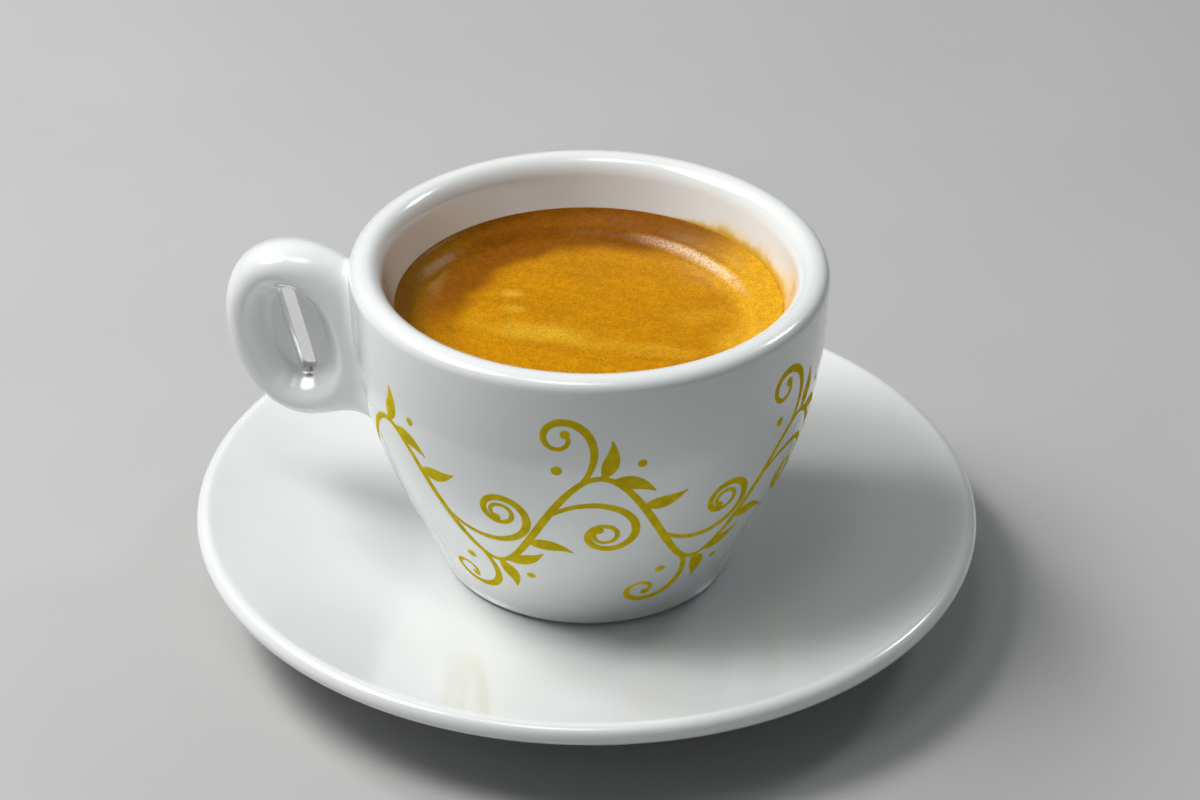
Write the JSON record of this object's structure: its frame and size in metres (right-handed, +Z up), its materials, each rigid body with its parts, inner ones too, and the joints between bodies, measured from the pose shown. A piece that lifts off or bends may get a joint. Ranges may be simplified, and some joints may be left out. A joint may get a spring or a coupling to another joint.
{
  "type": "americano",
  "caption": "Black coffee with a golden crema, banked at its edge, in a thick flaring porcelain cup with a pierced, dimpled ear handle, standing on its round saucer.",
  "frame": {"origin": "middle of the saucer's foot ring, on the surface that the saucer stands on", "axes": "+Z up, the axis of the cup and the saucer; the cup's handle points along -X"},
  "size_m": [0.1428, 0.1428, 0.0673],
  "materials": {
    "porcelain": "gloss",
    "coffee": "gloss",
    "crema": "satin",
    "print": "gloss"
  },
  "bodies": {
    "root": {"saucer": "porcelain", "cup": "porcelain", "coffee": "coffee", "crema": "crema"}
  },
  "joints": []
}
